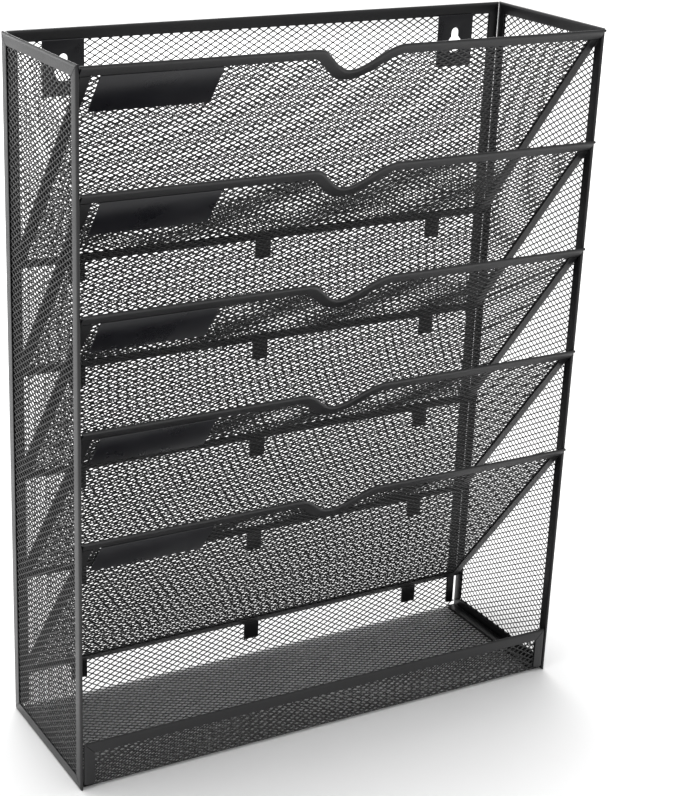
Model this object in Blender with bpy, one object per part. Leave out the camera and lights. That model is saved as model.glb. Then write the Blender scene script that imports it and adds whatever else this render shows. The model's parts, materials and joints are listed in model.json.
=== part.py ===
"""Hanging file rack: five sloping mesh pockets above a flat tray, in a frame of folded steel strip.

Metres, +Z up. The origin is on the floor under the middle of the rack. The open front faces -Y and
the back, at +Y, lies against the wall. Nothing on the rack moves: every piece is welded or folded on.
"""
import math

import bmesh
import bpy
from mathutils import Matrix, Vector

# Overall size.
WIDTH = 0.3150          # across the outer faces of the side panels
HEIGHT = 0.4000         # floor to the top of the back and side frames
DEPTH = 0.1008          # wall face to the front of the pocket rails
GAP = 0.0003            # clearance between pieces that touch
NEAR = 0.0001           # tolerance when a face is picked by its place

# Folded edge strip: sheet steel bent double round the edge of a mesh panel.
STRIP_WIDTH = 0.0065
STRIP_THICK = 0.0019
STRIP_WALL = 0.00045
FOLD_STEPS = 4          # facets round the fold

# Mesh sheet, drawn as a plain thin sheet that reaches into the folded strips.
SHEET_THICK = 0.0004
SHEET_INSET = 0.0020    # folded edge of a strip to the cut edge of the sheet inside it

# Tray: the back sheet bends forward into a floor and up into a low front lip.
LIP_HEIGHT = 0.0289
BEND_RADIUS = 0.0020    # middle of the sheet
BEND_STEPS = 4

# Pockets.
POCKETS = 5
TOP_RAIL_HEIGHT = 0.3994
POCKET_PITCH = 0.0622
SLOPE = math.radians(52.5)
POCKET_LENGTH = 0.1606  # rail to foot, down the slope
NOTCH_HALF_WIDTH = 0.0260
NOTCH_DEPTH = 0.0174
NOTCH_STEPS = 24
RAIL_LUG = 0.0011       # how far a rail's fold laps over each side panel's front edge

# Weld tabs under the foot of each pocket.
TAB_WIDTH = 0.0100
TAB_THICK = 0.0012
TAB_DROP = 0.0115
TAB_SPACING = 0.1170
TAB_BITE = 0.0004       # fold's centre to the tab's front face

# Label plate on the front of each pocket.
LABEL_WIDTH = 0.0670
LABEL_HEIGHT = 0.0258
LABEL_THICK = 0.0008
LABEL_FROM_SIDE = 0.0110
LABEL_BEVEL = 0.0003

# Keyhole hanger plates.
HANGER_OFFSET = 0.1240  # from the middle of the rack
HANGER_WIDTH = 0.0239
HANGER_TOP = 0.3941
HANGER_BOTTOM = 0.3642
HANGER_THICK = 0.0012
HANGER_BEVEL = 0.0004
KEYHOLE_HEIGHT = 0.3770  # centre of the round part
KEYHOLE_RADIUS = 0.0050
KEYHOLE_FLARE = math.radians(45)
NECK_RADIUS = 0.0026
NECK_START = 0.0045     # above the round part's centre
NECK_END = 0.0071
KEYHOLE_STEPS = 12
NECK_STEPS = 8
WINDOW_WIDTH = 0.0180   # opening in the sheet behind a hanger plate
WINDOW_BOTTOM = 0.3690
WINDOW_TOP = 0.3887

# Slot at the foot of each back post, beside the side panel.
SLOT_HEIGHT = 0.0200
SLOT_BOTTOM = 0.0035
SLOT_DEPTH = 0.0018
SLOT_STEPS = 3          # facets round each end

# Paint: satin black powder coat, the flat plates a little smoother and bluer.
STRIP_PAINT = ((0.030, 0.030, 0.032, 1.0), 0.42)
SHEET_PAINT = ((0.024, 0.024, 0.026, 1.0), 0.50)
PLATE_PAINT = ((0.027, 0.027, 0.031, 1.0), 0.38)

# Worked out from the dimensions above.
HALF_THICK = STRIP_THICK / 2
MITRE_TRIM = GAP / math.sqrt(2)
WALL_Y = DEPTH / 2
SIDE_X = WIDTH / 2
INNER_X = SIDE_X - STRIP_THICK - GAP
# The round of a pocket rail's fold is the foremost point of the rack.
RAIL_EDGE_Y = -DEPTH / 2 + HALF_THICK * (1 - math.cos(SLOPE))
# The fold's lug passes in front of the side panels.
SIDE_FRONT_Y = RAIL_EDGE_Y + HALF_THICK * (math.cos(SLOPE) + math.sin(SLOPE)) + GAP
BACK_MID_Y = WALL_Y - HALF_THICK
LIP_MID_Y = SIDE_FRONT_Y + HALF_THICK
FLOOR_MID_Z = HALF_THICK
BEND_CLEAR = BEND_RADIUS + GAP


def clear_scene():
    for obj in list(bpy.data.objects):
        bpy.data.objects.remove(obj, do_unlink=True)


def painted(obj, paint):
    """Give the object its own satin paint."""
    colour, roughness = paint
    material = bpy.data.materials.new(obj.name + "_paint")
    material.use_nodes = True
    shader = material.node_tree.nodes["Principled BSDF"]
    shader.inputs["Base Color"].default_value = colour
    shader.inputs["Roughness"].default_value = roughness
    shader.inputs["Metallic"].default_value = 0.1
    obj.data.materials.append(material)


def new_object(name, bm, parent, paint=None):
    """Turn a finished bmesh into a named object that hangs from its panel's empty."""
    bmesh.ops.recalc_face_normals(bm, faces=bm.faces)
    mesh = bpy.data.meshes.new(name)
    bm.to_mesh(mesh)
    bm.free()
    mesh.shade_smooth()
    mesh.set_sharp_from_angle(angle=math.radians(35))
    obj = bpy.data.objects.new(name, mesh)
    bpy.context.scene.collection.objects.link(obj)
    obj.parent = parent
    if paint is not None:
        painted(obj, paint)
    return obj


def panel_empty(name, location, rotation):
    """An empty whose XY plane is the middle of a panel, with its Z axis out of the panel's face."""
    empty = bpy.data.objects.new(name, None)
    empty.location = location
    empty.rotation_euler = rotation
    bpy.context.scene.collection.objects.link(empty)
    return empty


def apply_boolean(obj, cutter, operation):
    """Keep a boolean with a hidden tool object on the piece."""
    cutter.hide_render = True
    cutter.display_type = "WIRE"
    modifier = obj.modifiers.new(operation.lower(), "BOOLEAN")
    modifier.operation = operation
    modifier.solver = "EXACT"
    modifier.object = cutter


def strip_section():
    """Outer and inner points (across, through) round the folded strip, from one leg to the other."""
    inner_radius = HALF_THICK - STRIP_WALL
    pairs = [((STRIP_WIDTH, HALF_THICK), (STRIP_WIDTH, inner_radius))]
    for step in range(FOLD_STEPS + 1):
        angle = math.pi / 2 + math.pi * step / FOLD_STEPS
        across = math.cos(angle)
        through = math.sin(angle)
        outer = (HALF_THICK * (1 + across), HALF_THICK * through)
        inner = (HALF_THICK + inner_radius * across, inner_radius * through)
        pairs.append((outer, inner))
    pairs.append(((STRIP_WIDTH, -HALF_THICK), (STRIP_WIDTH, -inner_radius)))
    return pairs


def strip_bmesh(path, inward, lean_start=0.0, lean_end=0.0):
    """Sweep the folded section along a path of its folded edge, with mitred ends where they lean."""
    section = strip_section()
    bm = bmesh.new()
    rings = []
    last = len(path) - 1
    for index, (point, normal) in enumerate(zip(path, inward)):
        along = Vector((0.0, 0.0))
        if index == 0:
            along = (path[1] - path[0]).normalized() * lean_start
        elif index == last:
            along = (path[last] - path[last - 1]).normalized() * lean_end
        ring = []
        for pair in section:
            for across, through in pair:
                place = point + (normal + along) * across
                ring.append(bm.verts.new((place.x, place.y, through)))
        rings.append(ring)
    walls = len(section)
    for near, far in zip(rings, rings[1:]):
        for wall in range(walls - 1):
            for side in (0, 1):
                a = 2 * wall + side
                b = a + 2
                bm.faces.new((near[a], near[b], far[b], far[a]))
        for leg in (0, 2 * (walls - 1)):
            bm.faces.new((near[leg], near[leg + 1], far[leg + 1], far[leg]))
    for ring in (rings[0], rings[-1]):
        for wall in range(walls - 1):
            a = 2 * wall
            bm.faces.new((ring[a], ring[a + 1], ring[a + 3], ring[a + 2]))
    return bm


def edge_strip(name, panel, start, end, inward, lean_start=0.0, lean_end=0.0):
    """A straight folded strip along one edge of a panel."""
    path = [Vector(start), Vector(end)]
    bm = strip_bmesh(path, [Vector(inward)] * 2, lean_start, lean_end)
    return new_object(name, bm, panel, STRIP_PAINT)


def sheet_bmesh(outline, low, high):
    """A flat sheet with the given outline, between two heights on the panel's Z axis."""
    bm = bmesh.new()
    base = [bm.verts.new((x, y, low)) for x, y in outline]
    face = bm.faces.new(base)
    top = bmesh.ops.extrude_face_region(bm, geom=[face])
    moved = [item for item in top["geom"] if isinstance(item, bmesh.types.BMVert)]
    bmesh.ops.translate(bm, verts=moved, vec=(0.0, 0.0, high - low))
    return bm


def mesh_sheet(name, panel, outline):
    half = SHEET_THICK / 2
    return new_object(name, sheet_bmesh(outline, -half, half), panel, SHEET_PAINT)


def box_bmesh(low, high):
    bm = bmesh.new()
    centre = (Vector(low) + Vector(high)) / 2
    size = Vector(high) - Vector(low)
    place = Matrix.Translation(centre) @ Matrix.Diagonal(size.to_4d())
    bmesh.ops.create_cube(bm, size=1.0, matrix=place)
    return bm


def side_panel(side, sign):
    """A mesh panel in a frame of four mitred strips; local X is the depth and local Y the height."""
    middle_y = (SIDE_FRONT_Y + WALL_Y) / 2
    half = (WALL_Y - SIDE_FRONT_Y) / 2
    panel = panel_empty(side + "_side_panel", (sign * (SIDE_X - HALF_THICK), middle_y, 0.0),
                        (math.pi / 2, 0.0, sign * math.pi / 2))
    front = -sign * half
    back = sign * half
    low = MITRE_TRIM
    high = HEIGHT - MITRE_TRIM
    trim = sign * MITRE_TRIM
    edge_strip(side + "_side_bottom_rail", panel, (front + trim, 0.0), (back - trim, 0.0),
               (0.0, 1.0), 1.0, -1.0)
    edge_strip(side + "_side_top_rail", panel, (front + trim, HEIGHT), (back - trim, HEIGHT),
               (0.0, -1.0), 1.0, -1.0)
    edge_strip(side + "_side_front_post", panel, (front, low), (front, high), (sign, 0.0), 1.0, -1.0)
    edge_strip(side + "_side_back_post", panel, (back, low), (back, high), (-sign, 0.0), 1.0, -1.0)
    reach = half - SHEET_INSET
    outline = [(-reach, SHEET_INSET), (reach, SHEET_INSET),
               (reach, HEIGHT - SHEET_INSET), (-reach, HEIGHT - SHEET_INSET)]
    mesh_sheet(side + "_side_mesh", panel, outline)


def three_sided_frame(panel, top, top_name, left_name, right_name):
    """Strips along the top and the two ends of a panel, mitred above and cut square at the bend."""
    edge_strip(top_name, panel, (-INNER_X + MITRE_TRIM, top), (INNER_X - MITRE_TRIM, top),
               (0.0, -1.0), 1.0, -1.0)
    foot = FLOOR_MID_Z + BEND_CLEAR
    ends = []
    for name, sign in ((left_name, -1.0), (right_name, 1.0)):
        ends.append(edge_strip(name, panel, (sign * INNER_X, foot), (sign * INNER_X, top - MITRE_TRIM),
                               (-sign, 0.0), 0.0, -1.0))
    return ends


def back_frame():
    panel = panel_empty("back_panel", (0.0, BACK_MID_Y, 0.0), (math.pi / 2, 0.0, 0.0))
    posts = three_sided_frame(panel, HEIGHT, "back_top_rail", "back_left_post", "back_right_post")
    for post, sign in zip(posts, (-1.0, 1.0)):
        apply_boolean(post, slot_cutter(post.name + "_slot", panel, sign), "DIFFERENCE")
    return panel


def slot_cutter(name, panel, sign):
    """A round-ended tool that opens the outer edge of a back post near its foot."""
    radius = SLOT_DEPTH
    low = SLOT_BOTTOM + radius
    high = SLOT_BOTTOM + SLOT_HEIGHT - radius
    outline = [(sign * (INNER_X + radius), SLOT_BOTTOM)]
    for centre, start in ((low, -90), (high, 0)):
        for step in range(SLOT_STEPS + 1):
            angle = math.radians(start + 90 * step / SLOT_STEPS)
            outline.append((sign * (INNER_X - radius * math.cos(angle)), centre + radius * math.sin(angle)))
    outline.append((sign * (INNER_X + radius), SLOT_BOTTOM + SLOT_HEIGHT))
    return new_object(name, sheet_bmesh(outline, -STRIP_THICK, STRIP_THICK), panel)


def tray_frame():
    lip = panel_empty("tray_lip_panel", (0.0, LIP_MID_Y, 0.0), (math.pi / 2, 0.0, 0.0))
    three_sided_frame(lip, LIP_HEIGHT, "tray_lip_rail", "tray_lip_left_strip", "tray_lip_right_strip")
    floor = panel_empty("tray_floor_panel", (0.0, 0.0, FLOOR_MID_Z), (0.0, 0.0, 0.0))
    for side, sign in (("left", -1.0), ("right", 1.0)):
        edge_strip("tray_floor_" + side + "_strip", floor, (sign * INNER_X, LIP_MID_Y + BEND_CLEAR),
                   (sign * INNER_X, BACK_MID_Y - BEND_CLEAR), (-sign, 0.0))


def bend_arc(centre_y, centre_z, start, radius):
    """Points (y, z) of a quarter turn that starts at an angle and turns clockwise."""
    points = []
    for step in range(BEND_STEPS + 1):
        angle = start - math.pi / 2 * step / BEND_STEPS
        points.append((centre_y + radius * math.cos(angle), centre_z + radius * math.sin(angle)))
    return points


def back_and_tray_outline(offset):
    """One face of the bent sheet, seen from the side: down the back, along the floor, up the lip."""
    radius = BEND_RADIUS + offset
    bend_z = FLOOR_MID_Z + BEND_RADIUS
    back_bend = bend_arc(BACK_MID_Y - BEND_RADIUS, bend_z, 0.0, radius)
    lip_bend = bend_arc(LIP_MID_Y + BEND_RADIUS, bend_z, -math.pi / 2, radius)
    top = (BACK_MID_Y + offset, HEIGHT - SHEET_INSET)
    tip = (LIP_MID_Y - offset, LIP_HEIGHT - SHEET_INSET)
    return [top] + back_bend + lip_bend + [tip]


def back_and_tray_mesh():
    """One sheet that forms the back, the tray floor and the tray lip."""
    half = SHEET_THICK / 2
    outline = back_and_tray_outline(half) + back_and_tray_outline(-half)[::-1]
    reach = INNER_X - SHEET_INSET
    bm = bmesh.new()
    face = bm.faces.new([bm.verts.new((-reach, y, z)) for y, z in outline])
    far = bmesh.ops.extrude_face_region(bm, geom=[face])
    moved = [item for item in far["geom"] if isinstance(item, bmesh.types.BMVert)]
    bmesh.ops.translate(bm, verts=moved, vec=(2 * reach, 0.0, 0.0))
    sheet = new_object("back_and_tray_mesh", bm, None, SHEET_PAINT)
    for side, sign in (("left", -1.0), ("right", 1.0)):
        middle = sign * HANGER_OFFSET
        low = (middle - WINDOW_WIDTH / 2, BACK_MID_Y - STRIP_THICK, WINDOW_BOTTOM)
        high = (middle + WINDOW_WIDTH / 2, BACK_MID_Y + STRIP_THICK, WINDOW_TOP)
        window = new_object(side + "_keyhole_window", box_bmesh(low, high), None)
        apply_boolean(sheet, window, "DIFFERENCE")


def keyhole_outline():
    """Round hole for a screw head, flared up into a narrow neck for its shank."""
    outline = []
    for step in range(KEYHOLE_STEPS + 1):
        angle = KEYHOLE_FLARE - (math.pi + 2 * KEYHOLE_FLARE) * step / KEYHOLE_STEPS
        outline.append((KEYHOLE_RADIUS * math.cos(angle), KEYHOLE_RADIUS * math.sin(angle)))
    outline.append((-NECK_RADIUS, NECK_START))
    for step in range(NECK_STEPS + 1):
        angle = math.pi * (1 - step / NECK_STEPS)
        outline.append((NECK_RADIUS * math.cos(angle), NECK_END + NECK_RADIUS * math.sin(angle)))
    outline.append((NECK_RADIUS, NECK_START))
    return outline


def hanger_plate(side, sign):
    """A plate that laps over the back's top rail, with the keyhole that hangs on a wall screw."""
    front = BACK_MID_Y - HALF_THICK - GAP - HANGER_THICK
    plate = panel_empty(side + "_hanger", (sign * HANGER_OFFSET, front, KEYHOLE_HEIGHT),
                        (math.pi / 2, 0.0, 0.0))
    low = (-HANGER_WIDTH / 2, HANGER_BOTTOM - KEYHOLE_HEIGHT, -HANGER_THICK)
    high = (HANGER_WIDTH / 2, HANGER_TOP - KEYHOLE_HEIGHT, 0.0)
    bm = box_bmesh(low, high)
    front_edges = [edge for edge in bm.edges if all(abs(v.co.z) < GAP for v in edge.verts)]
    bmesh.ops.bevel(bm, geom=front_edges, offset=HANGER_BEVEL, segments=2, profile=0.5,
                    affect="EDGES")
    obj = new_object(side + "_hanger_plate", bm, plate, PLATE_PAINT)
    cutter = sheet_bmesh(keyhole_outline(), -2 * HANGER_THICK, HANGER_THICK)
    apply_boolean(obj, new_object(side + "_keyhole", cutter, plate), "DIFFERENCE")


def rail_path():
    """Folded edge of a pocket rail and its inward normals: straight, with a wave notch in the middle."""
    path = [Vector((-INNER_X, 0.0))]
    normals = [Vector((0.0, -1.0))]
    for step in range(NOTCH_STEPS + 1):
        x = NOTCH_HALF_WIDTH * (2 * step / NOTCH_STEPS - 1)
        phase = math.pi * x / NOTCH_HALF_WIDTH
        path.append(Vector((x, -NOTCH_DEPTH / 2 * (1 + math.cos(phase)))))
        rise = NOTCH_DEPTH / 2 * math.pi / NOTCH_HALF_WIDTH * math.sin(phase)
        normals.append(Vector((rise, -1.0)).normalized())
    path.append(Vector((INNER_X, 0.0)))
    normals.append(Vector((0.0, -1.0)))
    return path, normals


def add_lugs(bm):
    """Carry the round of the fold past both cut ends, over the side panels' front edges."""
    for sign in (-1.0, 1.0):
        round_faces = []
        for face in bm.faces:
            at_end = all(sign * v.co.x > INNER_X - GAP for v in face.verts)
            in_round = all(v.co.y > -HALF_THICK - NEAR for v in face.verts)
            if at_end and in_round:
                round_faces.append(face)
        grown = bmesh.ops.extrude_face_region(bm, geom=round_faces)
        moved = [item for item in grown["geom"] if isinstance(item, bmesh.types.BMVert)]
        bmesh.ops.translate(bm, verts=moved, vec=(sign * RAIL_LUG, 0.0, 0.0))
        bmesh.ops.delete(bm, geom=round_faces, context="FACES")


def tab_tool(name, panel):
    """Three upright tabs under the foot's fold, drawn in the sloping panel's own frame."""
    fold = Vector((0.0, math.cos(SLOPE), -math.sin(SLOPE))) * (POCKET_LENGTH - HALF_THICK)
    to_panel = Matrix.Rotation(SLOPE - math.pi, 4, "X")
    bm = bmesh.new()
    for step in (-1, 0, 1):
        middle = step * TAB_SPACING
        low = Vector((middle - TAB_WIDTH / 2, fold.y + TAB_BITE, fold.z - HALF_THICK - TAB_DROP))
        high = Vector((middle + TAB_WIDTH / 2, fold.y + TAB_BITE + TAB_THICK, fold.z))
        centre = (low + high) / 2
        place = to_panel @ Matrix.Translation(centre) @ Matrix.Diagonal((high - low).to_4d())
        bmesh.ops.create_cube(bm, size=1.0, matrix=place)
    return new_object(name, bm, panel)


def label_plate(name, panel):
    """A plain plate for a paper label, on the front face of the pocket under its rail."""
    left = -INNER_X + LABEL_FROM_SIDE
    top = -STRIP_WIDTH - GAP
    back = SHEET_THICK / 2 + GAP
    low = (left, top - LABEL_HEIGHT, back)
    high = (left + LABEL_WIDTH, top, back + LABEL_THICK)
    bm = box_bmesh(low, high)
    face_edges = [edge for edge in bm.edges if all(v.co.z > back + GAP for v in edge.verts)]
    bmesh.ops.bevel(bm, geom=face_edges, offset=LABEL_BEVEL, segments=2, profile=0.5, affect="EDGES")
    new_object(name, bm, panel, PLATE_PAINT)


def pocket(number):
    """A sloping mesh pocket front; local Y runs up the slope and local Z out of its front face."""
    prefix = "pocket_" + str(number)
    top = TOP_RAIL_HEIGHT - (number - 1) * POCKET_PITCH
    panel = panel_empty(prefix, (0.0, RAIL_EDGE_Y, top), (math.pi - SLOPE, 0.0, 0.0))

    path, normals = rail_path()
    rail = strip_bmesh(path, normals)
    add_lugs(rail)
    new_object(prefix + "_notched_rail", rail, panel, STRIP_PAINT)

    upper = -STRIP_WIDTH - GAP
    lower = -POCKET_LENGTH + STRIP_WIDTH + GAP
    for side, sign in (("left", -1.0), ("right", 1.0)):
        edge_strip(prefix + "_" + side + "_strip", panel, (sign * INNER_X, upper),
                   (sign * INNER_X, lower), (-sign, 0.0))

    foot = edge_strip(prefix + "_foot_strip", panel, (-INNER_X, -POCKET_LENGTH),
                      (INNER_X, -POCKET_LENGTH), (0.0, 1.0))
    apply_boolean(foot, tab_tool(prefix + "_tab_tool", panel), "UNION")

    reach = INNER_X - SHEET_INSET
    outline = [(-reach, -SHEET_INSET)]
    for point, normal in zip(path[1:-1], normals[1:-1]):
        outline.append(tuple(point + normal * SHEET_INSET))
    outline.append((reach, -SHEET_INSET))
    outline.append((reach, -POCKET_LENGTH + SHEET_INSET))
    outline.append((-reach, -POCKET_LENGTH + SHEET_INSET))
    mesh_sheet(prefix + "_mesh", panel, outline)

    label_plate(prefix + "_label_plate", panel)


def build_rack():
    clear_scene()
    back_and_tray_mesh()
    back_frame()
    tray_frame()
    for side, sign in (("left", -1.0), ("right", 1.0)):
        side_panel(side, sign)
        hanger_plate(side, sign)
    for number in range(1, POCKETS + 1):
        pocket(number)


build_rack()
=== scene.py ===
"""Looks of the hanging file rack: expanded steel mesh, folded edge strips, satin black powder coat.

Metres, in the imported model's own frame: +Z up, the open front faces -Y and the back is at +Y.
Every CAD node is replaced by pieces of the same outer size: the plain sheets become real diamond
mesh, the strips get oval folds, and the plates get rounded edges.
"""
import json
import math

import bmesh
import bpy
import numpy as np
from mathutils import Matrix, Quaternion, Vector

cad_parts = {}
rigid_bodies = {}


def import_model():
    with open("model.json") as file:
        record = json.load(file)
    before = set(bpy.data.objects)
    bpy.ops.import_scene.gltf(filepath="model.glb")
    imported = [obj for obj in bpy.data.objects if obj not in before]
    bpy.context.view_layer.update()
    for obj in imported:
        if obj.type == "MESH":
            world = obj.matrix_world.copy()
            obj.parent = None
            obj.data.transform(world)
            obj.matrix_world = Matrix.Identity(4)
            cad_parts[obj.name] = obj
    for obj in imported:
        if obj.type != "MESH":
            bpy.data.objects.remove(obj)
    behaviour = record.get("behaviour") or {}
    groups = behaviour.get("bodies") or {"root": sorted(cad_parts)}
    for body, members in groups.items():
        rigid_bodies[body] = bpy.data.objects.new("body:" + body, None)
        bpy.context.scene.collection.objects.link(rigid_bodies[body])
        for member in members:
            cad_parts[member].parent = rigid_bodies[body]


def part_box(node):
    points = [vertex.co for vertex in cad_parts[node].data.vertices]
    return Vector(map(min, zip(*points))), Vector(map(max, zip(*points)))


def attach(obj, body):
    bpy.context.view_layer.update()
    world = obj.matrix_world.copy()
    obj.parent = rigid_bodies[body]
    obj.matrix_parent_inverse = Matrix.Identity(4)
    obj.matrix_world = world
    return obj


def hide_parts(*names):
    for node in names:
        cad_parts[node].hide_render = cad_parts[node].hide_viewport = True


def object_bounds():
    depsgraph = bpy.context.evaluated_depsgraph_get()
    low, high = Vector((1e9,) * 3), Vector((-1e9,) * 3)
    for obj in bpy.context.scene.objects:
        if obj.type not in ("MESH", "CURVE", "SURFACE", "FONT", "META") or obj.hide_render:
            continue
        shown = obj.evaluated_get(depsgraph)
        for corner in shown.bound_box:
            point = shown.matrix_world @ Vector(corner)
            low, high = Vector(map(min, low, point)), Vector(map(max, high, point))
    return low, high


# Camera: where it stands and looks, and a shift that keeps the rack left of the middle.
CAMERA_PLACE = (-0.4932, -0.8391, 0.5623)
CAMERA_HEADING = math.radians(28.8)    # to the right of straight at the wall
CAMERA_PITCH = math.radians(-20.98)
CAMERA_ROLL = math.radians(1.69)
CAMERA_LENS = 82.2                     # mm
CAMERA_SENSOR = 36.0                   # mm
CAMERA_SHIFT = 0.112
CAMERA_REACH = 50.0                    # nothing further away is drawn

GAP = 0.0003             # clearance between pieces that touch
SHARP_ANGLE = math.radians(40)

# Folded strips.
STRIP_WIDTH = 0.0065
STRIP_THICK = 0.0019
STRIP_WALL = 0.00045
STRIP_PINCH = 0.00010    # how much closer each leg lies to the mesh at its free edge
FOLD_REACH = 0.00170     # how far the crimped nose of the fold reaches before the legs run flat
FOLD_STEPS = 12
MITRE_TRIM = GAP / math.sqrt(2)

# Expanded mesh: diamond pitch, half the length and height of a knuckle, and the strands.
DIAMOND_LONG = 0.0060
DIAMOND_HIGH = 0.0035
KNUCKLE_LONG = 0.00060
KNUCKLE_HIGH = 0.00034
STRAND_THICK = 0.00043
STRAND_TWIST = 0.00003   # how far a strand's lower edge stands in front of its upper edge
SIDE_TWIST = 0.00017     # the same for the side panels, whose lower edges stand outward
SIDE_PHASE = DIAMOND_HIGH / 8
POCKET_PHASE = 0.37      # shift of the diamonds from one pocket to the next, in diamonds
SHEET_INSET = 0.0020     # a strip's fold to the cut edge of the mesh inside it

# Tray bends.
BEND_RADIUS = 0.0020
BEND_CLEAR = 0.0023

# Pockets.
POCKETS = 5
SLOPE = math.radians(52.5)
POCKET_LENGTH = 0.1606
NOTCH_HALF_WIDTH = 0.0260
NOTCH_DEPTH = 0.0174
NOTCH_STEPS = 48
RAIL_LUG = 0.0011
TAB_WIDTH = 0.0100
TAB_THICK = 0.0012
TAB_DROP = 0.0115
TAB_SPACING = 0.1170
TAB_BITE = 0.0004

# Plates.
PLATE_ROUND = 0.00030
LABEL_THICK = 0.0008
LABEL_RISE = 0.02604
LABEL_UNDER_RAIL = 0.00006
LABEL_BACK = 0.0005      # out from the middle of the pocket mesh
KEYHOLE_RADIUS = 0.0050
KEYHOLE_STEPS = 40
KEYHOLE_FLARE = math.radians(45)
KEYHOLE_ABOVE_FOOT = 0.0128  # the round part's centre, above the plate's lower edge
NECK_RADIUS = 0.0026
NECK_START = 0.0045      # above the round part's centre
NECK_END = 0.0071
NECK_STEPS = 20
WINDOW_HALF_WIDTH = 0.0090
WINDOW_BOTTOM = 0.3690
WINDOW_TOP = 0.3887

# Slot at the foot of each back post.
SLOT_HEIGHT = 0.0200
SLOT_BOTTOM = 0.0035
SLOT_DEPTH = 0.0018
SLOT_STEPS = 9

# Powder coat: colour, roughness, peel strength, peel size and mottle.
STRIP_COAT = ((0.0060, 0.0060, 0.0068), 0.33, 0.80, 0.0008, 0.25)
MESH_COAT = ((0.0055, 0.0055, 0.0060), 0.40, 0.25, 0.0004, 0.25)
PLATE_COAT = ((0.0038, 0.0038, 0.0060), 0.30, 0.20, 0.0008, 0.20)
PEEL_DEPTH = 0.00008
CLOUD_SCALE = 45.0       # clouds to the metre in the mottle and the gloss
GLOSS_SPREAD = 0.05      # in roughness, to either side

# Studio.
FLOOR_SIZE = 14.0
FLOOR_SHADES = ((0.91, 0.91, 0.91, 1.0), (0.93, 0.93, 0.93, 1.0))
SKY_STRENGTH = 0.75
AIM = (0.0, 0.0, 0.2)
# Each light: name, place, aim, width, height and power.
SOFTBOXES = (
    ("top_softbox", (-0.1, 0.3, 2.0), AIM, 1.4, 1.0, 30.0),
    ("rear_softbox", (0.3, 2.2, 0.42), AIM, 2.8, 0.5, 20.0),
    ("background_softbox", (1.0, 2.6, 2.6), (1.0, 2.6, 0.0), 3.0, 3.0, 45.0),
)

HALF_THICK = STRIP_THICK / 2


def clear_scene():
    for obj in list(bpy.data.objects):
        bpy.data.objects.remove(obj, do_unlink=True)


clear_scene()
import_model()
cad_low, cad_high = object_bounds()


# ---------------------------------------------------------------- camera

def add_camera():
    heading = Vector((math.sin(CAMERA_HEADING), math.cos(CAMERA_HEADING), 0.0))
    forward = heading * math.cos(CAMERA_PITCH) + Vector((0.0, 0.0, math.sin(CAMERA_PITCH)))
    data = bpy.data.cameras.new("camera")
    data.lens = CAMERA_LENS
    data.sensor_width = CAMERA_SENSOR
    data.shift_x = CAMERA_SHIFT
    data.clip_end = CAMERA_REACH
    camera = bpy.data.objects.new("camera", data)
    camera.location = CAMERA_PLACE
    camera.rotation_mode = "QUATERNION"
    roll = Quaternion(forward, -CAMERA_ROLL)
    camera.rotation_quaternion = roll @ forward.to_track_quat("-Z", "Y")
    bpy.context.scene.collection.objects.link(camera)
    bpy.context.scene.camera = camera


# ---------------------------------------------------------------- materials

def paint(name, colour, roughness, peel, peel_size, mottle):
    """Satin powder coat: orange-peel bumps, uneven gloss and a faint mottle in the black."""
    material = bpy.data.materials.new(name)
    material.use_nodes = True
    nodes = material.node_tree.nodes
    links = material.node_tree.links
    shader = nodes["Principled BSDF"]
    shader.inputs["Metallic"].default_value = 0.0
    shader.inputs["Specular IOR Level"].default_value = 0.5
    place = nodes.new("ShaderNodeTexCoord")

    cloud = nodes.new("ShaderNodeTexNoise")
    cloud.inputs["Scale"].default_value = CLOUD_SCALE
    cloud.inputs["Detail"].default_value = 4.0
    links.new(place.outputs["Object"], cloud.inputs["Vector"])

    tint = nodes.new("ShaderNodeMix")
    tint.data_type = "RGBA"
    tint.inputs["A"].default_value = (*[c * (1 - mottle) for c in colour], 1.0)
    tint.inputs["B"].default_value = (*[c * (1 + mottle) for c in colour], 1.0)
    links.new(cloud.outputs["Fac"], tint.inputs["Factor"])
    links.new(tint.outputs["Result"], shader.inputs["Base Color"])

    gloss = nodes.new("ShaderNodeMapRange")
    gloss.inputs["From Min"].default_value = 0.3
    gloss.inputs["From Max"].default_value = 0.7
    gloss.inputs["To Min"].default_value = roughness - GLOSS_SPREAD
    gloss.inputs["To Max"].default_value = roughness + GLOSS_SPREAD
    links.new(cloud.outputs["Fac"], gloss.inputs["Value"])
    links.new(gloss.outputs["Result"], shader.inputs["Roughness"])

    grain = nodes.new("ShaderNodeTexNoise")
    grain.inputs["Scale"].default_value = 1.0 / peel_size
    grain.inputs["Detail"].default_value = 3.0
    grain.inputs["Roughness"].default_value = 0.6
    links.new(place.outputs["Object"], grain.inputs["Vector"])
    bump = nodes.new("ShaderNodeBump")
    bump.inputs["Strength"].default_value = peel
    bump.inputs["Distance"].default_value = PEEL_DEPTH
    links.new(grain.outputs["Fac"], bump.inputs["Height"])
    links.new(bump.outputs["Normal"], shader.inputs["Normal"])
    return material


STRIP_PAINT = paint("strip_powder_coat", *STRIP_COAT)
MESH_PAINT = paint("mesh_powder_coat", *MESH_COAT)
PLATE_PAINT = paint("plate_powder_coat", *PLATE_COAT)


# ---------------------------------------------------------------- panels and pieces

class Panel:
    """A flat local frame: X and Y lie in the panel, Z is out of its front face."""

    def __init__(self, origin, x_axis, y_axis):
        self.origin = np.array(origin, float)
        self.x_axis = np.array(x_axis, float)
        self.y_axis = np.array(y_axis, float)
        self.z_axis = np.cross(self.x_axis, self.y_axis)

    def place(self, points):
        """Panel coordinates, one point a row, to the row frame."""
        points = np.asarray(points, float)
        axes = np.stack([self.x_axis, self.y_axis, self.z_axis])
        return points @ axes + self.origin


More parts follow.
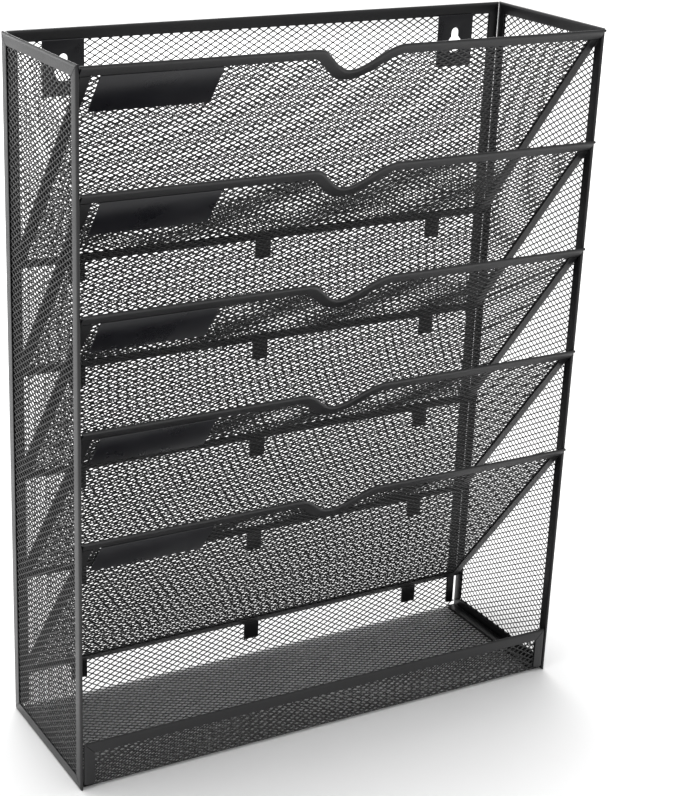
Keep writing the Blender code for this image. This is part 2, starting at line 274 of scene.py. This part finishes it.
def finish_piece(name, node, mesh, material):
    """Link the mesh as a piece that rides on the root body and stands for a CAD node."""
    mesh.materials.append(material)
    obj = bpy.data.objects.new(name, mesh)
    bpy.context.scene.collection.objects.link(obj)
    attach(obj, "root")
    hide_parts(node)
    return obj


def piece_from_bmesh(node, bm, material):
    """The mesh as the piece that stands for a CAD node, smooth but for its sharp edges."""
    bmesh.ops.recalc_face_normals(bm, faces=bm.faces)
    mesh = bpy.data.meshes.new(node + "_painted")
    bm.to_mesh(mesh)
    bm.free()
    mesh.shade_smooth()
    mesh.set_sharp_from_angle(angle=SHARP_ANGLE)
    return finish_piece(node + "_painted", node, mesh, material)


# ---------------------------------------------------------------- folded strips

def strip_section():
    """Closed outline (across, through) of the folded sheet: an oval fold and two pinched legs."""
    inner_radius = HALF_THICK - STRIP_WALL
    inner_reach = FOLD_REACH - STRIP_WALL
    leg_outer = HALF_THICK - STRIP_PINCH
    leg_inner = inner_radius - STRIP_PINCH
    leg_middle = (leg_outer + leg_inner) / 2
    nose = STRIP_WALL / 4
    tip = [(STRIP_WIDTH - nose, leg_inner), (STRIP_WIDTH, leg_middle), (STRIP_WIDTH - nose, leg_outer)]
    outer = []
    inner = []
    for step in range(FOLD_STEPS + 1):
        angle = math.pi / 2 + math.pi * step / FOLD_STEPS
        across = math.cos(angle)
        through = math.sin(angle)
        outer.append((FOLD_REACH * (1 + across), HALF_THICK * through))
        inner.append((FOLD_REACH + inner_reach * across, inner_radius * through))
    far_tip = [(across, -through) for across, through in reversed(tip)]
    return tip + outer + far_tip + inner[::-1]


def strip_rings(bm, panel, path, inward, lean_start, lean_end):
    """Vertex rings of the section along the path of the folded edge, leaning where an end is mitred."""
    section = strip_section()
    rings = []
    last = len(path) - 1
    for index, (point, normal) in enumerate(zip(path, inward)):
        along = Vector((0.0, 0.0))
        if index == 0:
            along = (path[1] - path[0]).normalized() * lean_start
        elif index == last:
            along = (path[last] - path[last - 1]).normalized() * lean_end
        points = []
        for across, through in section:
            flat = point + (normal + along) * across
            points.append((flat.x, flat.y, through))
        rings.append([bm.verts.new(place) for place in panel.place(points)])
    return rings


def strip_bmesh(panel, path, inward, lean_start=0.0, lean_end=0.0):
    bm = bmesh.new()
    rings = strip_rings(bm, panel, path, inward, lean_start, lean_end)
    count = len(rings[0])
    for near, far in zip(rings, rings[1:]):
        for index in range(count):
            after = (index + 1) % count
            bm.faces.new((near[index], near[after], far[after], far[index]))
    bm.faces.new(rings[0])
    bm.faces.new(rings[-1])
    return bm


def strip(node, panel, start, end, inward, lean_start=0.0, lean_end=0.0):
    """A straight folded strip in place of a CAD node."""
    path = [Vector(start), Vector(end)]
    bm = strip_bmesh(panel, path, [Vector(inward)] * 2, lean_start, lean_end)
    return piece_from_bmesh(node, bm, STRIP_PAINT)


# ---------------------------------------------------------------- expanded mesh

def lattice(reach_long, low, high, phase=(0.0, 0.0)):
    """Knuckle indices and centres of a diamond lattice that covers a rectangle."""
    half_long = DIAMOND_LONG / 2
    half_high = DIAMOND_HIGH / 2
    columns = np.arange(-int(reach_long / half_long) - 1, int(reach_long / half_long) + 2)
    rows = np.arange(int(low / half_high) - 1, int(high / half_high) + 2)
    column, row = np.meshgrid(columns, rows, indexing="ij")
    column = column.ravel()
    row = row.ravel()
    paired = (column + row) % 2 == 0
    index = np.stack([column[paired], row[paired]], axis=1)
    centre = index * (half_long, half_high) + np.array(phase)
    inside = (np.abs(centre[:, 0]) <= reach_long) & (centre[:, 1] >= low) & (centre[:, 1] <= high)
    return index[inside], centre[inside]


def knuckle_corners(centre, twist):
    """Eight corners of each knuckle: right, top, left, bottom in front, then the same behind."""
    flat = np.array([(KNUCKLE_LONG, 0.0, 0.0), (0.0, KNUCKLE_HIGH, -twist),
                     (-KNUCKLE_LONG, 0.0, 0.0), (0.0, -KNUCKLE_HIGH, twist)])
    lift = np.array((0.0, 0.0, STRAND_THICK / 2))
    corners = np.concatenate([flat + lift, flat - lift])
    base = np.concatenate([centre, np.zeros((len(centre), 1))], axis=1)
    return base[:, None, :] + corners[None, :, :]


RIGHT, TOP, LEFT, BOTTOM = range(4)
BEHIND = 4               # from a corner in front to the one behind it
CORNERS = 8
# Each strand: step to the far knuckle, and its front face as (knuckle, corner), 0 near and 1 far.
STRANDS = (
    ((1, 1), ((0, RIGHT), (1, BOTTOM), (1, LEFT), (0, TOP))),
    ((1, -1), ((0, BOTTOM), (1, LEFT), (1, TOP), (0, RIGHT))),
)
# Each side of a knuckle: the step to the neighbour whose strand would leave there, and its edge.
SIDES = (((1, 1), RIGHT, TOP), ((-1, 1), TOP, LEFT), ((-1, -1), LEFT, BOTTOM), ((1, -1), BOTTOM, RIGHT))


def expanded_faces(index, own):
    """Quads of the knuckles in own and of the strands that start in them, all sides closed."""
    number = {tuple(pair): n for n, pair in enumerate(index.tolist())}
    mine = set(np.nonzero(own)[0].tolist())
    quads = []

    def wall(a, b):
        quads.append((a + BEHIND, b + BEHIND, b, a))

    for (column, row), n in number.items():
        for step, corners in STRANDS:
            far = number.get((column + step[0], row + step[1]))
            if far is None or n not in mine:
                continue
            front = [CORNERS * (n, far)[end] + corner for end, corner in corners]
            quads.append(tuple(front))
            quads.append(tuple(v + BEHIND for v in reversed(front)))
            wall(front[0], front[1])
            wall(front[2], front[3])
            if far not in mine:
                wall(front[1], front[2])
        if n not in mine:
            continue
        base = CORNERS * n
        quads.append((base + RIGHT, base + TOP, base + LEFT, base + BOTTOM))
        quads.append(tuple(base + BEHIND + corner for corner in (BOTTOM, LEFT, TOP, RIGHT)))
        for step, first, second in SIDES:
            neighbour = number.get((column + step[0], row + step[1]))
            owner = n if step[0] > 0 else neighbour
            if neighbour is None or owner not in mine:
                wall(base + first, base + second)
    return np.array(quads)


def expanded_piece(name, node, index, centre, own, to_frame, twist=STRAND_TWIST):
    """Diamond mesh over the knuckles in own, bent or placed by to_frame, as one piece."""
    quads = expanded_faces(index, own)
    used, flat = np.unique(quads.ravel(), return_inverse=True)
    corners = to_frame(knuckle_corners(centre, twist).reshape(-1, 3)[used])
    mesh = bpy.data.meshes.new(name)
    mesh.from_pydata(corners.tolist(), [], flat.reshape(-1, 4).tolist())
    mesh.shade_smooth()
    return finish_piece(name, node, mesh, MESH_PAINT)


# ---------------------------------------------------------------- back and tray

def box_of(node):
    low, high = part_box(node)
    return Vector(low), Vector(high)


rail_low, rail_high = box_of("back_top_rail")
lip_low, lip_high = box_of("tray_lip_rail")
INNER_X = box_of("tray_floor_right_strip")[1].x
HEIGHT = cad_high.z
BACK_Y = (rail_low.y + rail_high.y) / 2
LIP_Y = (lip_low.y + lip_high.y) / 2
LIP_TOP = lip_high.z
FLOOR_Z = HALF_THICK
SIDE_FRONT_Y = box_of("left_side_front_post")[0].y
WALL_Y = cad_high.y
SIDE_X = (cad_high.x - cad_low.x) / 2 - HALF_THICK

BACK_PANEL = Panel((0.0, BACK_Y, 0.0), (1, 0, 0), (0, 0, 1))
LIP_PANEL = Panel((0.0, LIP_Y, 0.0), (1, 0, 0), (0, 0, 1))
FLOOR_PANEL = Panel((0.0, 0.0, FLOOR_Z), (1, 0, 0), (0, 1, 0))


def bent_sheet(points):
    """Maps (x, distance below the back's top edge, out of the face) onto the back, floor and lip."""
    x, run, out = points.T
    back = HEIGHT - FLOOR_Z - BEND_RADIUS
    bend = BEND_RADIUS * math.pi / 2
    floor = BACK_Y - LIP_Y - 2 * BEND_RADIUS
    run = -run
    first = np.clip(run - back, 0.0, bend)
    second = np.clip(run - back - bend - floor, 0.0, bend)
    turn = (first + second) / BEND_RADIUS
    normal_y = -np.cos(turn)
    normal_z = np.sin(turn)
    down = np.clip(run, 0.0, back)
    forward = np.clip(run - back - bend, 0.0, floor)
    up = np.clip(run - back - floor - 2 * bend, 0.0, None)
    y = BACK_Y - BEND_RADIUS - forward - BEND_RADIUS * normal_y
    z = HEIGHT - down - BEND_RADIUS * normal_z + up
    return np.stack([x, y + out * normal_y, z + out * normal_z], axis=1)


def back_and_tray_mesh():
    """One sheet in three pieces: upper back, lower back, and the tray's floor and lip."""
    length = (HEIGHT - FLOOR_Z - BEND_RADIUS) + math.pi * BEND_RADIUS
    length += BACK_Y - LIP_Y - 2 * BEND_RADIUS + LIP_TOP - FLOOR_Z - BEND_RADIUS
    index, centre = lattice(INNER_X - SHEET_INSET, -length + SHEET_INSET, -SHEET_INSET)
    height = HEIGHT + centre[:, 1]
    keyhole_x = (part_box("right_hanger_plate")[0].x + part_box("right_hanger_plate")[1].x) / 2
    in_window = np.abs(np.abs(centre[:, 0]) - keyhole_x) < WINDOW_HALF_WIDTH
    in_window &= (height > WINDOW_BOTTOM) & (height < WINDOW_TOP)
    index = index[~in_window]
    centre = centre[~in_window]
    height = height[~in_window]
    bottom = FLOOR_Z + BEND_RADIUS
    parts = (("back_upper_mesh", height >= HEIGHT / 2),
             ("back_lower_mesh", (height < HEIGHT / 2) & (height >= bottom)),
             ("tray_mesh", height < bottom))
    for name, own in parts:
        expanded_piece(name + "_painted", "back_and_tray_mesh", index, centre, own, bent_sheet)


def cut_slot(post, sign):
    """Open the outer edge of a back post near its foot with a round-ended slot."""
    low = SLOT_BOTTOM + SLOT_DEPTH
    high = SLOT_BOTTOM + SLOT_HEIGHT - SLOT_DEPTH
    outline = [(INNER_X + SLOT_DEPTH, SLOT_BOTTOM)]
    for centre, start in ((low, -90), (high, 0)):
        for step in range(SLOT_STEPS + 1):
            angle = math.radians(start + 90 * step / SLOT_STEPS)
            x = INNER_X - SLOT_DEPTH * math.cos(angle)
            outline.append((x, centre + SLOT_DEPTH * math.sin(angle)))
    outline.append((INNER_X + SLOT_DEPTH, SLOT_BOTTOM + SLOT_HEIGHT))
    bm = bmesh.new()
    base = [bm.verts.new((sign * x, WALL_Y - 2 * STRIP_THICK, z)) for x, z in outline]
    grown = bmesh.ops.extrude_face_region(bm, geom=[bm.faces.new(base)])
    moved = [item for item in grown["geom"] if isinstance(item, bmesh.types.BMVert)]
    bmesh.ops.translate(bm, verts=moved, vec=(0.0, 3 * STRIP_THICK, 0.0))
    bmesh.ops.recalc_face_normals(bm, faces=bm.faces)
    mesh = bpy.data.meshes.new("slot")
    bm.to_mesh(mesh)
    bm.free()
    cutter = bpy.data.objects.new("slot", mesh)
    bpy.context.scene.collection.objects.link(cutter)
    modifier = post.modifiers.new("slot", "BOOLEAN")
    modifier.object = cutter
    modifier.solver = "EXACT"
    bpy.context.view_layer.update()
    cut = bpy.data.meshes.new_from_object(post.evaluated_get(bpy.context.evaluated_depsgraph_get()))
    post.modifiers.clear()
    post.data = cut
    bpy.data.objects.remove(cutter, do_unlink=True)
    cut.shade_smooth()
    cut.set_sharp_from_angle(angle=SHARP_ANGLE)


def three_sided_frame(panel, top, top_node, side_nodes):
    """A top strip mitred to a strip down each side, open at the foot."""
    reach = INNER_X - MITRE_TRIM
    strip(top_node, panel, (-reach, top), (reach, top), (0.0, -1.0), 1.0, -1.0)
    ends = []
    for node, sign in zip(side_nodes, (-1.0, 1.0)):
        ends.append(strip(node, panel, (sign * INNER_X, FLOOR_Z + BEND_CLEAR),
                          (sign * INNER_X, top - MITRE_TRIM), (-sign, 0.0), 0.0, -1.0))
    return ends


def back_and_tray():
    back_and_tray_mesh()
    posts = three_sided_frame(BACK_PANEL, HEIGHT, "back_top_rail",
                              ("back_left_post", "back_right_post"))
    for post, sign in zip(posts, (-1.0, 1.0)):
        cut_slot(post, sign)
    three_sided_frame(LIP_PANEL, LIP_TOP, "tray_lip_rail",
                      ("tray_lip_left_strip", "tray_lip_right_strip"))
    for side, sign in (("left", -1.0), ("right", 1.0)):
        strip("tray_floor_" + side + "_strip", FLOOR_PANEL, (sign * INNER_X, LIP_Y + BEND_CLEAR),
              (sign * INNER_X, BACK_Y - BEND_CLEAR), (-sign, 0.0))


# ---------------------------------------------------------------- side panels

def side_panel(side, sign):
    """A mesh sheet in four mitred strips; local X runs from front to back."""
    middle = (SIDE_FRONT_Y + WALL_Y) / 2
    half = (WALL_Y - SIDE_FRONT_Y) / 2
    panel = Panel((sign * SIDE_X, middle, 0.0), (0, 1, 0), (0, 0, 1))
    inner = half - MITRE_TRIM
    low = MITRE_TRIM
    high = HEIGHT - MITRE_TRIM
    strip(side + "_side_bottom_rail", panel, (-inner, 0.0), (inner, 0.0), (0.0, 1.0), 1.0, -1.0)
    strip(side + "_side_top_rail", panel, (-inner, HEIGHT), (inner, HEIGHT), (0.0, -1.0), 1.0, -1.0)
    strip(side + "_side_front_post", panel, (-half, low), (-half, high), (1.0, 0.0), 1.0, -1.0)
    strip(side + "_side_back_post", panel, (half, low), (half, high), (-1.0, 0.0), 1.0, -1.0)
    index, centre = lattice(half - SHEET_INSET, SHEET_INSET, HEIGHT - SHEET_INSET,
                            (0.0, sign * SIDE_PHASE))
    own = np.ones(len(index), bool)
    node = side + "_side_mesh"
    expanded_piece(node + "_painted", node, index, centre, own, panel.place, sign * SIDE_TWIST)


# ---------------------------------------------------------------- pockets

def notch_edge(x):
    """Height of the rail's folded edge and its slope, at a distance from the middle of the rack."""
    phase = math.pi * np.clip(x / NOTCH_HALF_WIDTH, -1.0, 1.0)
    height = -NOTCH_DEPTH / 2 * (1 + np.cos(phase))
    slope = NOTCH_DEPTH / 2 * math.pi / NOTCH_HALF_WIDTH * np.sin(phase)
    return height, slope


def rail_path():
    """A pocket rail's folded edge and its inward normals: straight, with a wave notch in the middle."""
    path = [Vector((-INNER_X, 0.0))]
    normals = [Vector((0.0, -1.0))]
    for x in np.linspace(-NOTCH_HALF_WIDTH, NOTCH_HALF_WIDTH, NOTCH_STEPS + 1):
        height, slope = notch_edge(x)
        path.append(Vector((x, height)))
        normals.append(Vector((slope, -1.0)).normalized())
    path.append(Vector((INNER_X, 0.0)))
    normals.append(Vector((0.0, -1.0)))
    return path, normals


def lug(bm, panel, sign):
    """The nose of the fold carried on past the rail's end, over the side panel's front edge."""
    section = []
    start = math.acos(HALF_THICK / FOLD_REACH - 1.0)
    for step in range(FOLD_STEPS + 1):
        angle = start + 2 * (math.pi - start) * step / FOLD_STEPS
        section.append((-FOLD_REACH * (1 + math.cos(angle)), HALF_THICK * math.sin(angle)))
    rings = []
    for x in (INNER_X - STRIP_WALL, INNER_X + RAIL_LUG):
        points = [(sign * x, down, out) for down, out in section]
        rings.append([bm.verts.new(place) for place in panel.place(points)])
    count = len(section)
    for index in range(count):
        after = (index + 1) % count
        bm.faces.new((rings[0][index], rings[0][after], rings[1][after], rings[1][index]))
    bm.faces.new(rings[0])
    bm.faces.new(rings[1])


def rounded_box(bm, panel, low, high, radius, steps=2):
    """A box with all its edges rounded, in panel coordinates."""
    low = Vector(low)
    high = Vector(high)
    made = bmesh.ops.create_cube(bm, size=1.0)
    verts = made["verts"]
    centre = (low + high) / 2
    size = high - low
    for v in verts:
        v.co = centre + Vector((v.co.x * size.x, v.co.y * size.y, v.co.z * size.z))
    edges = list({edge for v in verts for edge in v.link_edges})
    rounded = bmesh.ops.bevel(bm, geom=edges, offset=radius, segments=steps, profile=0.5, affect="EDGES")
    shaped = {v for v in rounded["verts"]} | {v for face in rounded["faces"] for v in face.verts}
    for v in shaped:
        v.co = panel.place([v.co])[0]


def foot_strip(node, panel):
    """The foot's fold and the three upright weld tabs that hang from it in front of the back mesh."""
    path = [Vector((-INNER_X, -POCKET_LENGTH)), Vector((INNER_X, -POCKET_LENGTH))]
    bm = strip_bmesh(panel, path, [Vector((0.0, 1.0))] * 2)
    fold = panel.place([(0.0, -POCKET_LENGTH + HALF_THICK, 0.0)])[0]
    upright = Panel((0.0, fold[1], fold[2]), (1, 0, 0), (0, 0, 1))
    front = -TAB_BITE
    for step in (-1, 0, 1):
        low = (step * TAB_SPACING - TAB_WIDTH / 2, -HALF_THICK - TAB_DROP, front - TAB_THICK)
        high = (step * TAB_SPACING + TAB_WIDTH / 2, 0.0, front)
        rounded_box(bm, upright, low, high, TAB_THICK / 5)
    piece_from_bmesh(node, bm, STRIP_PAINT)


def label_plate(node, panel):
    """A thin plate with rounded edges, where the CAD's label plate lies on the slope."""
    low, high = box_of(node)
    top = -STRIP_WIDTH - LABEL_UNDER_RAIL
    bm = bmesh.new()
    rounded_box(bm, panel, (low.x, top - LABEL_RISE, LABEL_BACK),
                (high.x, top, LABEL_BACK + LABEL_THICK), PLATE_ROUND, 3)
    piece_from_bmesh(node, bm, PLATE_PAINT)


def pocket(number):
    """One sloping front: notched rail, side strips, foot with its tabs, label plate and mesh."""
    prefix = "pocket_" + str(number)
    low, high = box_of(prefix + "_notched_rail")
    edge_y = low.y + HALF_THICK * (1 - math.cos(SLOPE))
    edge_z = high.z + HALF_THICK * (math.sin(SLOPE) - 1)
    panel = Panel((0.0, edge_y, edge_z), (1, 0, 0), (0, -math.cos(SLOPE), math.sin(SLOPE)))

    path, normals = rail_path()
    bm = strip_bmesh(panel, path, normals)
    for sign in (-1.0, 1.0):
        lug(bm, panel, sign)
    piece_from_bmesh(prefix + "_notched_rail", bm, STRIP_PAINT)

    upper = -STRIP_WIDTH - GAP
    lower = -POCKET_LENGTH + STRIP_WIDTH + GAP
    for side, sign in (("left", -1.0), ("right", 1.0)):
        strip(prefix + "_" + side + "_strip", panel, (sign * INNER_X, upper), (sign * INNER_X, lower),
              (-sign, 0.0))
    foot_strip(prefix + "_foot_strip", panel)
    label_plate(prefix + "_label_plate", panel)

    phase = (0.0, DIAMOND_HIGH * POCKET_PHASE * number % DIAMOND_HIGH)
    index, centre = lattice(INNER_X - SHEET_INSET, -POCKET_LENGTH + SHEET_INSET, -SHEET_INSET, phase)
    edge, slope = notch_edge(centre[:, 0])
    inside = (edge - centre[:, 1]) / np.sqrt(1 + slope ** 2) >= SHEET_INSET
    index = index[inside]
    centre = centre[inside]
    own = np.ones(len(index), bool)
    expanded_piece(prefix + "_mesh_painted", prefix + "_mesh", index, centre, own, panel.place)


# ---------------------------------------------------------------- hanger plates

def keyhole_points():
    """Round hole for a screw head, flared up into a narrow neck for its shank."""
    points = []
    for step in range(KEYHOLE_STEPS + 1):
        angle = KEYHOLE_FLARE - (math.pi + 2 * KEYHOLE_FLARE) * step / KEYHOLE_STEPS
        points.append((KEYHOLE_RADIUS * math.cos(angle), KEYHOLE_RADIUS * math.sin(angle)))
    points.append((-NECK_RADIUS, NECK_START))
    for step in range(NECK_STEPS + 1):
        angle = math.pi * (1 - step / NECK_STEPS)
        points.append((NECK_RADIUS * math.cos(angle), NECK_END + NECK_RADIUS * math.sin(angle)))
    points.append((NECK_RADIUS, NECK_START))
    return points


def add_loop(curve, points):
    spline = curve.splines.new("POLY")
    spline.points.add(len(points) - 1)
    for slot, (x, y) in zip(spline.points, points):
        slot.co = (x, y, 0.0, 1.0)
    spline.use_cyclic_u = True


def hanger_plate(node):
    """A plate with rounded edges and a keyhole, made as a filled and bevelled outline."""
    low, high = box_of(node)
    middle = (low + high) / 2
    half_width = (high.x - low.x) / 2 - PLATE_ROUND
    half_height = (high.z - low.z) / 2 - PLATE_ROUND
    curve = bpy.data.curves.new(node, "CURVE")
    curve.dimensions = "2D"
    curve.fill_mode = "BOTH"
    curve.extrude = (high.y - low.y) / 2 - PLATE_ROUND
    curve.bevel_depth = PLATE_ROUND
    curve.bevel_resolution = 3
    add_loop(curve, [(-half_width, -half_height), (half_width, -half_height),
                     (half_width, half_height), (-half_width, half_height)])
    keyhole = low.z + KEYHOLE_ABOVE_FOOT - middle.z
    grown = []
    for x, y in keyhole_points():
        away = Vector((x, y - NECK_START / 2)).normalized() * PLATE_ROUND
        grown.append((x + away.x, y + away.y + keyhole))
    add_loop(curve, grown)
    shape = bpy.data.objects.new("hanger_shape", curve)
    bpy.context.scene.collection.objects.link(shape)
    mesh = bpy.data.meshes.new_from_object(shape.evaluated_get(bpy.context.evaluated_depsgraph_get()))
    bpy.data.objects.remove(shape, do_unlink=True)
    mesh.transform(Matrix.Translation(middle) @ Matrix.Rotation(math.pi / 2, 4, "X"))
    bm = bmesh.new()
    bm.from_mesh(mesh)
    bmesh.ops.remove_doubles(bm, verts=bm.verts, dist=1e-6)
    piece_from_bmesh(node, bm, PLATE_PAINT)


# ---------------------------------------------------------------- studio

def add_floor():
    """A plain pale studio paper with a faint fibre tint."""
    mesh = bpy.data.meshes.new("floor")
    half = FLOOR_SIZE / 2
    corners = [(-half, -half, 0.0), (half, -half, 0.0), (half, half, 0.0), (-half, half, 0.0)]
    mesh.from_pydata(corners, [], [(0, 1, 2, 3)])
    floor = bpy.data.objects.new("floor", mesh)
    bpy.context.scene.collection.objects.link(floor)
    material = bpy.data.materials.new("studio_paper")
    material.use_nodes = True
    nodes = material.node_tree.nodes
    links = material.node_tree.links
    shader = nodes["Principled BSDF"]
    shader.inputs["Roughness"].default_value = 0.9
    shader.inputs["Specular IOR Level"].default_value = 0.1
    place = nodes.new("ShaderNodeTexCoord")
    fibre = nodes.new("ShaderNodeTexNoise")
    fibre.inputs["Scale"].default_value = 6.0
    tint = nodes.new("ShaderNodeMix")
    tint.data_type = "RGBA"
    tint.inputs["A"].default_value, tint.inputs["B"].default_value = FLOOR_SHADES
    links.new(place.outputs["Object"], fibre.inputs["Vector"])
    links.new(fibre.outputs["Fac"], tint.inputs["Factor"])
    links.new(tint.outputs["Result"], shader.inputs["Base Color"])
    mesh.materials.append(material)


def add_softbox(name, place, aim, width, height, power):
    data = bpy.data.lights.new(name, "AREA")
    data.shape = "RECTANGLE"
    data.size = width
    data.size_y = height
    data.energy = power
    lamp = bpy.data.objects.new(name, data)
    lamp.location = place
    lamp.rotation_mode = "QUATERNION"
    lamp.rotation_quaternion = (Vector(aim) - Vector(place)).to_track_quat("-Z", "Y")
    bpy.context.scene.collection.objects.link(lamp)


def add_studio():
    add_floor()
    scene = bpy.context.scene
    world = bpy.data.worlds.new("studio")
    world.use_nodes = True
    sky = world.node_tree.nodes["Background"]
    sky.inputs["Color"].default_value = (1.0, 1.0, 1.0, 1.0)
    sky.inputs["Strength"].default_value = SKY_STRENGTH
    scene.world = world
    scene.view_settings.view_transform = "Standard"
    for softbox in SOFTBOXES:
        add_softbox(*softbox)


# ---------------------------------------------------------------- build

add_camera()
back_and_tray()
for side, sign in (("left", -1.0), ("right", 1.0)):
    side_panel(side, sign)
    hanger_plate(side + "_hanger_plate")
for number in range(1, POCKETS + 1):
    pocket(number)
add_studio()
